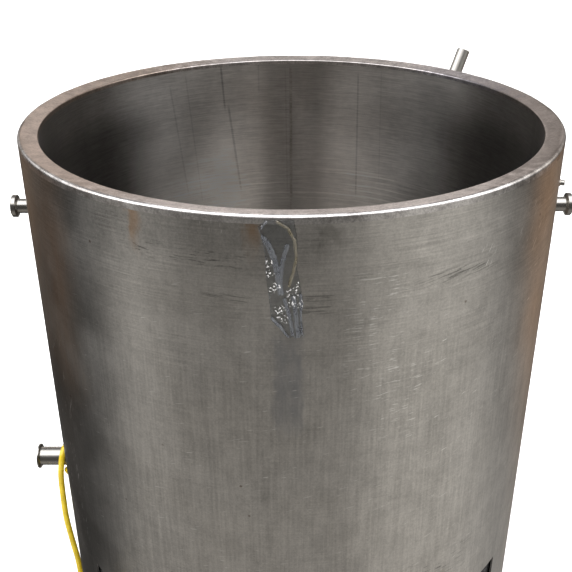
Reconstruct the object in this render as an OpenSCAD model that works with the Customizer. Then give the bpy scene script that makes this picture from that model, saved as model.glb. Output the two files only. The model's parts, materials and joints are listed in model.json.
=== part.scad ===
// Open-topped jacketed stainless vat on a cut-away skirt, with a bottom outlet valve.
// Millimetres. +Z is up, the floor is Z = 0, the vat's axis is the Z axis and its front faces -Y.

/* [Vessel] */
// Outside diameter of the outer wall
vat_d = 900; // [880:1:920]
// Height of the rim above the floor
rim_h = 1150; // [1120:1:1180]
// Distance from the inside face of the vessel to the outside face of the vat
wall_depth = 32; // [28:1:36]
// Sheet thickness of both walls and of the bottom
sheet_t = 3; // [2:0.5:3]
// Thickness of the ring that closes the top of the jacket
rim_t = 12; // [10:1:16]
// Height the rim's top falls from its outer edge to its inner edge
rim_fall = 4; // [0:0.5:6]
// Radius of the rim's outer edge
rim_outer_round = 5; // [3:0.5:6]
// Radius of the rim's inner edge
rim_inner_round = 2; // [1:0.5:3]
// Depth of the dished bottom
dish_depth = 100; // [90:5:110]

/* [Skirt] */
// Height of the skirt opening's top edge above the floor
opening_h = 396; // [390:1:402]
// Angle that the front opening spans
opening_angle = 107; // [100:1:112]
// Turn of the openings about the vat's axis
opening_turn = 1.3; // [0:0.1:2]
// Width of the foot plates under the skirt legs
foot_w = 60; // [50:1:70]
// Thickness of the foot plates
foot_t = 8; // [6:1:10]
// Anchor hole spacing across the vat
anchor_x = 770; // [760:1:780]
// Anchor hole spacing from front to back
anchor_y = 380; // [360:1:400]
// Anchor hole diameter, for M12
anchor_d = 14; // [13:0.5:16]
// Depth of the foam under the dished bottom, below the skirt opening's top edge
foam_drop = 120; // [110:1:130]

/* [Side fittings] */
// Height of the lugs' axis above the floor
lug_z = 983; // [960:1:1000]
// Lug neck diameter
lug_neck_d = 26; // [22:1:30]
// Lug neck length from the wall to the head
lug_neck_l = 40; // [36:1:46]
// Lug head diameter
lug_head_d = 40; // [36:1:44]
// Lug head thickness
lug_head_t = 8; // [7:1:11]
// Height of the jacket inlet's axis above the floor
inlet_z = 423; // [421:1:430]
// Reach of the jacket inlet from the wall
inlet_l = 76; // [70:1:82]
// Azimuth of the vent pipe, from +X towards the back
vent_azimuth = 45.6; // [40:0.1:50]
// Lean of the vent pipe from upright, outwards
vent_lean = 30.8; // [28:0.1:34]
// Height where the vent pipe's axis meets the outer wall
vent_z = 1080; // [1070:1:1090]
// Length of the vent pipe's axis beyond the outer wall
vent_l = 113; // [100:1:120]
// Azimuth of the side stud, from +X
stud_azimuth = -17; // [-20:1:-14]
// Height of the side stud above the floor
stud_z = 1073; // [1065:1:1080]
// Diameter of the side stud
stud_d = 9; // [7:1:11]
// Length of the side stud
stud_l = 8; // [6:1:10]

/* [Pipe sizes] */
// Outside diameter of the inch-and-a-half tube
tube_d = 38.1; // [38:0.1:38.2]
// Tube wall thickness
tube_wall = 1.65; // [1.5:0.05:2]
// Clamp ferrule flange diameter
flange_d = 50.5; // [50:0.1:51]
// Clamp ferrule flange thickness at its edge
flange_t = 2.85; // [2.6:0.05:3]
// Vent pipe outside diameter
vent_d = 25.4; // [25:0.1:26]

/* [Outlet valve] */
// Height of the outlet run's axis above the floor
outlet_z = 228; // [220:1:232]
// Distance of the outlet ferrule's face in front of the vat's axis
outlet_y = 250; // [240:1:260]
// Bend radius of the outlet pipe
bend_r = 57; // [52:1:60]
// Valve body flange diameter
valve_d = 84; // [80:1:88]
// Thickness of each half of the valve's body flange
valve_half_t = 11; // [10:1:13]
// Length of each half of the valve
valve_half_l = 34; // [30:1:40]
// Valve stem diameter
stem_d = 9; // [8:0.5:10]
// Running clearance of the stem and the disc, on the radius
running_gap = 0.05; // [0.02:0.01:0.08]
// Lever length from the stem to its end
lever_l = 115; // [100:5:120]

/* [Cord] */
// Diameter of the yellow cord
cord_d = 12; // [11:0.5:12]
// Radius of the put-away coil at the middle of its turns
coil_r = 66; // [60:1:68]

/* [Clear film] */
// Angle that the film patch spans round the front
film_angle = 6.7; // [5:0.1:8]
// Turn of the patch from straight ahead, to the left
film_turn = 2; // [0:0.5:4]
// Length of the patch down the wall
film_l = 165; // [140:5:190]
// Thickness of the crumpled patch
film_t = 1; // [0.5:0.5:2]

/* [Hidden] */
$fn = 96;
wall_fn = 256;

steel = "#9a9a98";
bright_steel = "#c4c2be";
weld_grey = "#b0aea8";

outer_r = vat_d / 2;
inner_r = outer_r - wall_depth;
rim_under = rim_h - rim_t;
floor_plate_t = 4;
jacket_floor_z = opening_h + 4;
vessel_base = opening_h + 2;
dish_r = (inner_r * inner_r + dish_depth * dish_depth) / (2 * dish_depth);
dish_centre_z = vessel_base - dish_depth + dish_r;
dish_low = vessel_base - dish_depth;
film_top = rim_h - 6;
leg_angle = 180 - opening_angle;
foot_reach = 5;
tube_r = tube_d / 2;
tube_bore_r = tube_r - tube_wall;
cut = 1;

// ---------- vessel ----------

// Ring wall between two radii
module ring(r_out, r_in, h, fn = $fn) {
    difference() {
        cylinder(r = r_out, h = h, $fn = fn);
        translate([0, 0, -cut]) cylinder(r = r_in, h = h + 2 * cut, $fn = fn);
    }
}

// Solid cylinder as large as the vat, which fittings are trimmed to
module vat_cylinder(r, h) {
    cylinder(r = r, h = h, $fn = wall_fn);
}

// Places a fitting that is drawn along +X at an azimuth on the wall and a height
module on_wall(azimuth, z) {
    translate([0, 0, z]) rotate([0, 0, azimuth]) translate([outer_r, 0, 0]) children();
}

// Axis of the vent pipe, drawn along +Z from where it meets the wall
module along_vent() {
    on_wall(vent_azimuth, vent_z) rotate([0, vent_lean, 0]) children();
}

// Drilled holes through the outer wall, under the fittings that are welded onto it
inlet_hole_d = 30;
vent_hole_d = 8;
vent_hole_drop = 13;

// The tubes' bores open out where they are welded on, clear of the wall
inlet_relief_l = 1;
vent_relief_l = 20;
vent_relief = 0.8;

module wall_hole(d) {
    rotate([0, 90, 0]) translate([0, 0, -wall_depth / 2]) cylinder(d = d, h = wall_depth);
}

module outer_shell() {
    color(steel)
    difference() {
        translate([0, 0, opening_h]) ring(outer_r, outer_r - sheet_t, rim_under - opening_h, wall_fn);
        on_wall(180, inlet_z) wall_hole(inlet_hole_d);
        on_wall(vent_azimuth, vent_z - vent_hole_drop) wall_hole(vent_hole_d);
    }
}

module inner_shell() {
    color(bright_steel)
    translate([0, 0, vessel_base])
        ring(inner_r + sheet_t, inner_r, rim_under - vessel_base, wall_fn);
}

// Section of the rim ring, with both top edges rounded
module rim_section() {
    inner_x = inner_r + rim_inner_round;
    inner_z = rim_t - rim_fall - rim_inner_round;
    outer_x = outer_r - rim_outer_round;
    outer_z = rim_t - rim_outer_round;
    run = norm([outer_x - inner_x, outer_z - inner_z]);
    // direction square to the sloping top, which touches both rounds
    square_to_top = atan2(outer_z - inner_z, outer_x - inner_x)
        + acos((rim_inner_round - rim_outer_round) / run);
    upward = [cos(square_to_top), sin(square_to_top)];
    union() {
        polygon([
            [inner_r, 0],
            [outer_r, 0],
            [outer_r, outer_z],
            [outer_x, outer_z] + rim_outer_round * upward,
            [inner_x, inner_z] + rim_inner_round * upward,
            [inner_r, inner_z]
        ]);
        translate([inner_x, inner_z]) circle(r = rim_inner_round, $fn = 32);
        translate([outer_x, outer_z]) circle(r = rim_outer_round, $fn = 32);
    }
}

module rim_ring() {
    color(bright_steel) translate([0, 0, rim_under])
        rotate_extrude($fn = wall_fn) rim_section();
}

// Spherical dish with a hole for the outlet pipe
module bottom_head() {
    color(bright_steel)
    difference() {
        intersection() {
            translate([0, 0, dish_centre_z]) sphere(r = dish_r + sheet_t);
            translate([0, 0, dish_low - 2 * sheet_t])
                vat_cylinder(inner_r + sheet_t, dish_depth + 2 * sheet_t);
        }
        translate([0, 0, dish_centre_z]) sphere(r = dish_r);
        translate([0, 0, dish_low - tube_d]) cylinder(r = tube_r, h = 2 * tube_d);
    }
}

module jacket_floor() {
    color(steel)
    translate([0, 0, jacket_floor_z])
        ring(outer_r - sheet_t, inner_r + sheet_t, floor_plate_t, wall_fn);
}

foam_black = "#141414";
foam_gap = 3;
foam_outer_r = outer_r - sheet_t - foam_gap;
foam_band_t = 20;
foam_disc_t = 12;
foam_base = jacket_floor_z - foam_drop;

// Foam band round the dished bottom, inside the skirt
module insulation_band() {
    color(foam_black)
    translate([0, 0, foam_base + foam_disc_t])
        ring(foam_outer_r, foam_outer_r - foam_band_t, foam_drop - foam_disc_t, wall_fn);
}

// Foam disc under the dished bottom, with a hole for the outlet pipe
module insulation_disc() {
    color(foam_black)
    translate([0, 0, foam_base]) difference() {
        vat_cylinder(foam_outer_r, foam_disc_t);
        translate([0, 0, -cut]) cylinder(r = tube_r + foam_gap, h = foam_disc_t + 2 * cut);
    }
}

// ---------- seams and fillet welds ----------

seam_w = 6;
seam_proud = 0.8;

// Vertical weld bead at the back, from radius r_in out to r_out
module seam_weld(r_in, r_out, z) {
    seam_angle = 360 * seam_w / (2 * PI * r_out);
    color(weld_grey)
    rotate([0, 0, 90 - seam_angle / 2]) rotate_extrude(angle = seam_angle, $fn = wall_fn)
        translate([r_in, z]) square([r_out - r_in, rim_under - z]);
}

module inner_seam_weld() { seam_weld(inner_r - seam_proud, inner_r, vessel_base); }
module outer_seam_weld() { seam_weld(outer_r, outer_r + seam_proud, opening_h); }

// Fillet weld round a fitting of radius r that stands on the wall along +X
module fillet(r, leg) {
    rotate([0, 90, 0])
        translate([0, 0, -leg]) rotate_extrude()
            polygon([[r, 0], [r + leg, 0], [r + leg, leg], [r, 2 * leg]]);
}

module fitting_welds() {
    lug_leg = 4;
    tube_leg = 3;
    stud_leg = 2;
    color(weld_grey)
    difference() {
        union() {
            for (side = [0, 180]) on_wall(side, lug_z) fillet(lug_neck_d / 2, lug_leg);
            on_wall(180, inlet_z) fillet(tube_r, tube_leg);
            on_wall(stud_azimuth, stud_z) fillet(stud_d / 2, stud_leg);
            intersection() {
                along_vent() translate([0, 0, -vent_d])
                    ring(vent_d / 2 + lug_leg, vent_d / 2, 3 * vent_d);
                translate([0, 0, vent_z - 2 * vent_d]) vat_cylinder(outer_r + tube_leg, 4 * vent_d);
            }
        }
        vat_cylinder(outer_r, rim_h);
    }
}

// ---------- skirt ----------

// Curved bar of rectangular section that spans one skirt leg
module leg_arc(azimuth, r, width, z, h) {
    rotate([0, 0, azimuth + opening_turn - leg_angle / 2])
        rotate_extrude(angle = leg_angle, $fn = wall_fn)
            translate([r - width, z]) square([width, h]);
}

// Curved sheet that carries the outer wall, between the front and rear openings
module leg(azimuth) {
    color(steel) leg_arc(azimuth, outer_r, sheet_t, foot_t, opening_h - foot_t);
}

module right_leg() { leg(0); }
module left_leg() { leg(180); }

// Curved foot plate under one skirt leg
module foot(azimuth) {
    color(steel)
    difference() {
        leg_arc(azimuth, outer_r + foot_reach, foot_w, 0, foot_t);
        for (x = [-1, 1], y = [-1, 1])
            translate([x * anchor_x / 2, y * anchor_y / 2, -cut])
                cylinder(d = anchor_d, h = foot_t + 2 * cut);
    }
}

module right_foot() { foot(0); }
module left_foot() { foot(180); }

// ---------- fittings on the outer wall ----------

// Turned lug: round neck, bevel and round head, seated on the wall
module lug(azimuth) {
    bevel = 3;
    color(bright_steel)
    difference() {
        on_wall(azimuth, lug_z) rotate([0, 90, 0]) {
            translate([0, 0, -wall_depth / 2])
                cylinder(d = lug_neck_d, h = lug_neck_l + wall_depth / 2 + cut);
            translate([0, 0, lug_neck_l - bevel])
                cylinder(d1 = lug_neck_d, d2 = lug_head_d, h = bevel);
            translate([0, 0, lug_neck_l]) cylinder(d = lug_head_d, h = lug_head_t - cut);
            translate([0, 0, lug_neck_l + lug_head_t - cut])
                cylinder(d1 = lug_head_d, d2 = lug_head_d - 2 * cut, h = cut);
        }
        vat_cylinder(outer_r, rim_h);
    }
}

module right_lug() { lug(0); }
module left_lug() { lug(180); }

flange_bevel = 20;

// Clamp ferrule's flange, with a bevelled back; the face is at Z = 0
module flange() {
    bevel_rise = (flange_d / 2 - tube_r) * tan(flange_bevel);
    rotate([180, 0, 0]) rotate_extrude()
        polygon([
            [tube_bore_r, 0], [flange_d / 2, 0], [flange_d / 2, flange_t],
            [tube_r, flange_t + bevel_rise], [tube_bore_r, flange_t + bevel_rise]
        ]);
}

module jacket_inlet() {
    color(bright_steel)
    difference() {
        on_wall(180, inlet_z) rotate([0, 90, 0]) {
            translate([0, 0, -2 * sheet_t]) ring(tube_r, tube_bore_r, inlet_l + 2 * sheet_t - flange_t);
            translate([0, 0, inlet_l]) flange();
        }
        on_wall(180, inlet_z) rotate([0, 90, 0]) translate([0, 0, -inlet_relief_l])
            cylinder(r1 = tube_bore_r + 2 * inlet_relief_l, r2 = tube_bore_r, h = 2 * inlet_relief_l);
        vat_cylinder(outer_r, rim_h);
    }
}

module vent_pipe() {
    tip_round = 1.2;
    bore_r = vent_d / 2 - tube_wall;
    color(bright_steel)
    difference() {
        along_vent() {
            translate([0, 0, -vent_d]) ring(vent_d / 2, bore_r, vent_l + vent_d - tip_round);
            translate([0, 0, vent_l - tip_round]) ring(vent_d / 2 - tip_round, bore_r, tip_round);
            translate([0, 0, vent_l - tip_round]) rotate_extrude()
                translate([vent_d / 2 - tip_round, 0]) intersection() {
                    circle(r = tip_round, $fn = 24);
                    square(tip_round);
                }
        }
        along_vent() translate([0, 0, -vent_d - cut])
            cylinder(r = bore_r + vent_relief, h = vent_relief_l + vent_d + cut);
        vat_cylinder(outer_r, 2 * rim_h);
    }
}

module side_stud() {
    color(bright_steel)
    difference() {
        on_wall(stud_azimuth, stud_z) rotate([0, 90, 0]) {
            translate([0, 0, -stud_l]) cylinder(d = stud_d, h = 2 * stud_l - cut);
            translate([0, 0, stud_l - cut]) cylinder(d1 = stud_d, d2 = stud_d - 2 * cut, h = cut);
        }
        vat_cylinder(outer_r, rim_h);
    }
}

module clear_film() {
    color("#cfd4d8")
    rotate([0, 0, -90 - film_turn - film_angle / 2])
        rotate_extrude(angle = film_angle, $fn = wall_fn)
            translate([outer_r, film_top - film_l]) square([film_t, film_l]);
}

// ---------- bottom outlet ----------

// Places a piece that is drawn along +Z on the outlet's axis, pointing to the front
module on_outlet(y) {
    translate([0, -y, outlet_z]) rotate([90, 0, 0]) children();
}

gasket_t = 2;
joint_y = outlet_y + gasket_t / 2;
valve_y = outlet_y + gasket_t + valve_half_l;

module outlet_pipe() {
    color(bright_steel) {
        translate([0, 0, outlet_z + bend_r]) difference() {
            ring(tube_r, tube_bore_r, dish_low - outlet_z - bend_r);
            translate([0, 0, dish_centre_z - outlet_z - bend_r]) sphere(r = dish_r);
        }
        translate([0, -bend_r, outlet_z + bend_r]) rotate([0, 90, 0])
            rotate_extrude(angle = 90) translate([bend_r, 0]) difference() {
                circle(r = tube_r);
                circle(r = tube_bore_r);
            }
        on_outlet(bend_r) ring(tube_r, tube_bore_r, outlet_y - bend_r - flange_t);
        on_outlet(outlet_y) flange();
    }
}

module outlet_gasket() {
    inset = 1;
    bore_gap = 0.2;
    color("#f2f2ee")
    on_outlet(outlet_y) ring(flange_d / 2 - inset, tube_bore_r + bore_gap, gasket_t);
}

// Section of the clamp's channel, which grips both bevels
module clamp_section() {
    play = 0.1;
    lip_gap = 2.5;
    root_gap = 1;
    back_t = 7;
    half_w = 9;
    lip_r = tube_r + lip_gap;
    root_r = flange_d / 2 + root_gap;
    root_half = gasket_t / 2 + flange_t + play;
    lip_half = root_half + (root_r - lip_r) * tan(flange_bevel);
    outer = root_r + back_t;
    polygon([
        [lip_r, lip_half], [root_r, root_half], [root_r, -root_half], [lip_r, -lip_half],
        [lip_r, -half_w], [outer, -half_w], [outer, half_w], [lip_r, half_w]
    ]);
}

hinge_x = -42;
hinge_pin_r = 3;
knuckle_r = 6.5;
knuckle_w = 5;
knuckle_gap = 0.2;
bolt_x = 42;
clamp_bolt_r = 3;
clamp_bolt_play = 0.5;
ear_z = 4;
ear_t = 8;
ear_from = 30;
ear_l = 20;
ear_w = 12;

// One half of the clamp, above the split; knuckles sit at each listed place along the axis
module clamp_half(knuckles) {
    split_angle = 5;
    arm_lift = 2;
    arm_t = 4.5;
    arm_l = 12;
    difference() {
        union() {
            rotate([0, 0, split_angle])
                rotate_extrude(angle = 180 - 2 * split_angle) clamp_section();
            for (k = knuckles) {
                translate([hinge_x, 0, k]) cylinder(r = knuckle_r, h = knuckle_w, center = true);
                translate([hinge_x, arm_lift, k - knuckle_w / 2]) cube([arm_l, arm_t, knuckle_w]);
            }
            translate([ear_from, ear_z, -ear_w / 2]) cube([ear_l, ear_t, ear_w]);
        }
        for (k = knuckles)
            translate([hinge_x, 0, k]) cylinder(r = hinge_pin_r, h = 2 * knuckle_w, center = true);
        translate([bolt_x, ear_z - cut, 0]) rotate([-90, 0, 0])
            cylinder(r = clamp_bolt_r + clamp_bolt_play, h = ear_t + 2 * cut);
    }
}

module clamp_half_upper() {
    apart = knuckle_w + knuckle_gap;
    color(bright_steel) on_outlet(joint_y) clamp_half([-apart, apart]);
}

module clamp_half_lower() {
    color(bright_steel) on_outlet(joint_y) mirror([0, 1, 0]) clamp_half([0]);
}

module clamp_hinge_pin() {
    pin_l = 3 * knuckle_w + 2 * knuckle_gap;
    head_r = 4.5;
    head_t = 1;
    color(steel) on_outlet(joint_y) translate([hinge_x, 0, 0]) {
        cylinder(r = hinge_pin_r, h = pin_l, center = true);
        for (end = [-1, 1]) translate([0, 0, end * (pin_l + head_t) / 2])
            cylinder(r = head_r, h = head_t, center = true);
    }
}

module clamp_bolt() {
    below = ear_z + ear_t;
    above = ear_z + ear_t + 14;
    head_t = 4;
    head_r = 5.5;
    color(steel) translate([bolt_x, -joint_y, outlet_z]) {
        translate([0, 0, -below]) cylinder(r = clamp_bolt_r, h = below + above);
        translate([0, 0, -below - head_t]) cylinder(r = head_r, h = head_t, $fn = 6);
    }
}

module clamp_wing_nut() {
    above = ear_z + ear_t;
    base_r = 7;
    top_r = 5.5;
    nut_h = 9;
    wing_r = 7;
    wing_t = 3;
    wing_reach = 12;
    color(bright_steel) translate([bolt_x, -joint_y, outlet_z + above]) difference() {
        union() {
            cylinder(r1 = base_r, r2 = top_r, h = nut_h);
            for (side = [90, 270]) rotate([0, 0, side]) translate([wing_reach, 0, nut_h])
                rotate([90, 0, 0]) cylinder(r = wing_r, h = wing_t, center = true);
        }
        translate([0, 0, -cut]) cylinder(r = clamp_bolt_r, h = nut_h + wing_r + 2 * cut);
    }
}

// ---------- outlet valve ----------

seat_r = valve_d / 2 - 16;
seat_half = 8;
seat_bite = 0.2;
seat_bore_r = tube_bore_r - seat_bite;
valve_bolt_pitch_r = 34;
valve_bolt_r = 3;
valve_bolt_hole_r = 3.3;
bolt_hex_r = 5.77;
valve_nut_t = 5;
stem_boss_r = 10;
stem_boss_reach = 4;
stem_boss_x = valve_d / 2 + stem_boss_reach;
stem_in = -31;
stem_out = 57;
lever_x = 47.5;
lever_t = 8;
lever_w = 18;
lever_screw_r = 2.5;
lever_screw_l = 10;
lever_screw_hole_l = 12;

// Places a piece that is drawn along +X from the centre of the valve
module on_stem(x) {
    translate([x, -valve_y, outlet_z]) rotate([0, 90, 0]) children();
}

module valve_bolt_places() {
    for (quarter = [45:90:315]) rotate([0, 0, quarter]) translate([valve_bolt_pitch_r, 0, 0])
        children();
}

// One half of the valve's body; its split face is at Z = 0 and its ferrule at Z = valve_half_l
module valve_half() {
    difference() {
        union() {
            ring(valve_d / 2, tube_bore_r, valve_half_t);
            ring(tube_r, tube_bore_r, valve_half_l - flange_t);
            translate([0, 0, valve_half_l]) flange();
            intersection() {
                rotate([0, 90, 0]) cylinder(r = stem_boss_r, h = stem_boss_x);
                translate([valve_d / 2 - stem_boss_reach, -stem_boss_r, 0])
                    cube([2 * stem_boss_r, 2 * stem_boss_r, stem_boss_r]);
            }
        }
        translate([0, 0, -cut]) cylinder(r = seat_r, h = seat_half + cut);
        rotate([0, 90, 0]) translate([0, 0, stem_in - cut])
            cylinder(r = stem_d / 2 + running_gap, h = 2 * valve_d);
        valve_bolt_places() translate([0, 0, -cut])
            cylinder(r = valve_bolt_hole_r, h = valve_half_t + 2 * cut);
    }
}

module valve_body_outlet() {
    color(bright_steel) on_outlet(valve_y) valve_half();
}

module valve_body_inlet() {
    color(bright_steel) on_outlet(valve_y) mirror([0, 0, 1]) valve_half();
}

module valve_seat() {
    color("#1c1c1c")
    difference() {
        on_outlet(valve_y - seat_half) ring(seat_r, seat_bore_r, 2 * seat_half);
        on_stem(stem_in - cut) cylinder(r = stem_d / 2 + running_gap, h = 2 * valve_d);
    }
}

// Disc whose edge is part of a sphere, so it clears the seat at every angle
module valve_disc() {
    disc_t = 6;
    disc_r = seat_bore_r - running_gap;
    hub_half = 14;
    hub_wall = 2;
    color(bright_steel)
    difference() {
        union() {
            on_outlet(valve_y) rotate_extrude() intersection() {
                circle(r = disc_r);
                translate([0, -disc_t / 2]) square([2 * disc_r, disc_t]);
            }
            on_stem(-hub_half) cylinder(r = stem_d / 2 + hub_wall, h = 2 * hub_half);
        }
        on_stem(-seat_r) cylinder(r = stem_d / 2, h = 2 * seat_r);
    }
}

module valve_stem() {
    color(steel)
    difference() {
        on_stem(stem_in) cylinder(r = stem_d / 2, h = stem_out - stem_in);
        on_stem(stem_out - lever_screw_hole_l)
            cylinder(r = lever_screw_r, h = lever_screw_hole_l + cut);
    }
}

module valve_bolts() {
    past_nut = 2;
    head_t = 4;
    below = valve_half_t + valve_nut_t + past_nut;
    color(steel) on_outlet(valve_y) valve_bolt_places() {
        translate([0, 0, -below]) cylinder(r = valve_bolt_r, h = below + valve_half_t);
        translate([0, 0, valve_half_t]) cylinder(r = bolt_hex_r, h = head_t, $fn = 6);
    }
}

module valve_nuts() {
    color(steel) on_outlet(valve_y) valve_bolt_places()
        translate([0, 0, -valve_half_t - valve_nut_t]) difference() {
            cylinder(r = bolt_hex_r, h = valve_nut_t, $fn = 6);
            translate([0, 0, -cut]) cylinder(r = valve_bolt_r, h = valve_nut_t + 2 * cut);
        }
}

// Flat bar with a round end, hanging from the stem by its own length
module lever_bar(width, from, to, thick) {
    translate([-width / 2, -to, 0]) cube([width, to - from, thick]);
    translate([0, -to, 0]) cylinder(r = width / 2, h = thick);
}

module valve_lever() {
    hub_r = 12;
    color(bright_steel)
    translate([lever_x, -valve_y, outlet_z]) rotate([90, 0, 90]) difference() {
        union() {
            cylinder(r = hub_r, h = lever_t);
            lever_bar(lever_w, 0, lever_l - lever_w / 2, lever_t);
        }
        translate([0, 0, -cut]) cylinder(r = stem_d / 2, h = lever_t + 2 * cut);
    }
}

module lever_grip() {
    grip_from = 50;
    wall = 3;
    color("#232323")
    translate([lever_x - wall, -valve_y, outlet_z]) rotate([90, 0, 90]) difference() {
        lever_bar(lever_w + 2 * wall, grip_from, lever_l - lever_w / 2, lever_t + 2 * wall);
        translate([0, 0, wall]) lever_bar(lever_w, 0, lever_l - lever_w / 2, lever_t);
    }
}

module lever_screw() {
    head_r = 9;
    head_top_r = 7;
    head_t = 4;
    color(steel) {
        on_stem(stem_out - lever_screw_l) cylinder(r = lever_screw_r, h = lever_screw_l);
        on_stem(stem_out) cylinder(r1 = head_r, r2 = head_top_r, h = head_t);
    }
}

// ---------- yellow cord ----------

cord_yellow = "#d9bb22";
cord_r = cord_d / 2;
cord_sides = 10;

// The put-away coil lies on the floor in front of the left leg
coil_centre = [-505, -185];
coil_lift = 1.5;
coil_entry = 20;
knot_r = 10;
function coil_point(a) = [
    coil_centre[0] + (coil_r + cord_r) * cos(a),
    coil_centre[1] + (coil_r + cord_r) * sin(a),
    coil_lift + cord_r
];

// The hitch starts beside the wall under the jacket inlet and winds once round its neck
hitch_gap = 0.4;
hitch_r = tube_r + cord_r + hitch_gap;
hitch_x = -457;
hitch_from = 240;
hitch_to = 540;
hitch_step = 15;
hitch = [
    for (a = [hitch_from:hitch_step:hitch_to])
        [hitch_x - cord_d * (a - hitch_from) / 360, hitch_r * cos(a), inlet_z + hitch_r * sin(a)]
];

// From the neck the cord hangs beside the wall and bends onto the floor towards the coil
drop = [
    [-471, -26, 405], [-476, -27, 385], [-480, -27, 360], [-481, -27, 320], [-480, -27, 280],
    [-479, -27, 240], [-476, -27, 200], [-473, -27, 160], [-471, -29, 120], [-470, -34, 85],
    [-469, -45, 52], [-466, -64, 26], [-461, -88, 11], [-454, -112, 7], [-447, -134, 7]
];
cord_route = concat(hitch, drop, [coil_point(coil_entry)]);

function unit(v) = v / norm(v);
function tangent(p, i) = unit(p[min(i + 1, len(p) - 1)] - p[max(i - 1, 0)]);

// Tube swept along points whose direction never runs along X
module sweep_tube(points, r, sides) {
    count = len(points);
    rings = [
        for (i = [0:count - 1])
            let (
                t = tangent(points, i),
                n = unit([1, 0, 0] - t[0] * t),
                b = cross(t, n)
            )
            for (k = [0:sides - 1]) points[i] + r * (cos(360 * k / sides) * n + sin(360 * k / sides) * b)
    ];
    sides_faces = [
        for (i = [0:count - 2], k = [0:sides - 1])
            let (k2 = (k + 1) % sides)
            [i * sides + k, (i + 1) * sides + k, (i + 1) * sides + k2, i * sides + k2]
    ];
    start_cap = [for (k = [0:sides - 1]) k];
    end_cap = [for (k = [sides - 1:-1:0]) (count - 1) * sides + k];
    polyhedron(rings, concat([start_cap, end_cap], sides_faces), convexity = 6);
}

module tether_cord() {
    color(cord_yellow) sweep_tube(cord_route, cord_r, cord_sides);
}

module tether_knot() {
    color(cord_yellow) translate([-462, -19, 397]) sphere(r = knot_r);
}

module tether_coil() {
    color(cord_yellow)
    translate([coil_centre[0], coil_centre[1], coil_lift])
        rotate_extrude() translate([coil_r - cord_d, 0]) square([2 * cord_d, 2 * cord_d]);
}

module coil_tie() {
    band_t = coil_lift;
    tie_angle = 10;
    tie_from = 200;
    color("#c9a91c")
    translate([coil_centre[0], coil_centre[1], 0])
        rotate([0, 0, tie_from]) rotate_extrude(angle = tie_angle) difference() {
            translate([coil_r - cord_d - band_t, 0])
                square([2 * (cord_d + band_t), 2 * (cord_d + band_t)]);
            translate([coil_r - cord_d, coil_lift]) square([2 * cord_d, 2 * cord_d]);
        }
}

module tail_knot() {
    color(cord_yellow)
    translate([coil_centre[0] - knot_r, coil_centre[1] - coil_r, coil_lift + 2 * cord_d + knot_r])
        sphere(r = knot_r);
}

outer_shell();
inner_shell();
rim_ring();
bottom_head();
jacket_floor();
insulation_band();
insulation_disc();
inner_seam_weld();
outer_seam_weld();
fitting_welds();
left_leg();
right_leg();
left_foot();
right_foot();
left_lug();
right_lug();
jacket_inlet();
vent_pipe();
side_stud();
clear_film();
outlet_pipe();
outlet_gasket();
clamp_half_upper();
clamp_half_lower();
clamp_hinge_pin();
clamp_bolt();
clamp_wing_nut();
valve_body_inlet();
valve_body_outlet();
valve_seat();
valve_disc();
valve_stem();
valve_bolts();
valve_nuts();
valve_lever();
lever_grip();
lever_screw();
tether_cord();
tether_knot();
tether_coil();
coil_tie();
tail_knot();
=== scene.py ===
import json
import math

import bpy
import bmesh
from mathutils import Matrix, Vector, noise


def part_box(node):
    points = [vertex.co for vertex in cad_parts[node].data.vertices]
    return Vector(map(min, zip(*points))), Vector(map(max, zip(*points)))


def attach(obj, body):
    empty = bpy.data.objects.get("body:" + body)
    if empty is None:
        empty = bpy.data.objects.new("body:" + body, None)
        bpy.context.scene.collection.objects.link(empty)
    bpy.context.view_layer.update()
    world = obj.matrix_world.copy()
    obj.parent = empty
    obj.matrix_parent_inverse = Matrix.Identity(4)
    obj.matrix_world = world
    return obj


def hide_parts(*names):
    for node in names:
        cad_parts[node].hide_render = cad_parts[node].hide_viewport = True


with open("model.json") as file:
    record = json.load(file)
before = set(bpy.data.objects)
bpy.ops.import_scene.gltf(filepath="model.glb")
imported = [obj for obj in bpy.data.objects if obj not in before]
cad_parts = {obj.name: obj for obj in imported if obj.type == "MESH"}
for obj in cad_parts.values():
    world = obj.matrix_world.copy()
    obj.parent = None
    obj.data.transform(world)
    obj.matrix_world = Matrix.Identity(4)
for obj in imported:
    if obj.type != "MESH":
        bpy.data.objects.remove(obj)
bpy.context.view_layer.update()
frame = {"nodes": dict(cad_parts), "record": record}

nodes = frame["nodes"]
scene = bpy.context.scene

# ---------- sizes taken from the frame, in metres ----------

WALL_T = 0.003
OUTER_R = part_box("outer_shell")[1].x
INNER_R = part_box("inner_shell")[1].x - WALL_T

# ---------- camera ----------

CAMERA_PLACE = Vector((0.0, -1.443, 1.5645))
CAMERA_PITCH = 0.4763
CAMERA_YAW = -0.0070
CAMERA_ROLL = -0.0061
CAMERA_LENS = 54.52


def make_camera():
    level = math.cos(CAMERA_PITCH)
    forward = Vector((math.sin(CAMERA_YAW) * level, math.cos(CAMERA_YAW) * level, -math.sin(CAMERA_PITCH)))
    side = Vector((math.cos(CAMERA_YAW), -math.sin(CAMERA_YAW), 0.0))
    above = side.cross(forward)
    right = side * math.cos(CAMERA_ROLL) + above * math.sin(CAMERA_ROLL)
    up = above * math.cos(CAMERA_ROLL) - side * math.sin(CAMERA_ROLL)
    turn = Matrix((right, up, -forward)).transposed().to_4x4()
    data = bpy.data.cameras.new("camera")
    data.lens = CAMERA_LENS
    camera = bpy.data.objects.new("camera", data)
    camera.matrix_world = Matrix.Translation(CAMERA_PLACE) @ turn
    scene.collection.objects.link(camera)
    scene.camera = camera


# ---------- node helpers ----------

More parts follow.
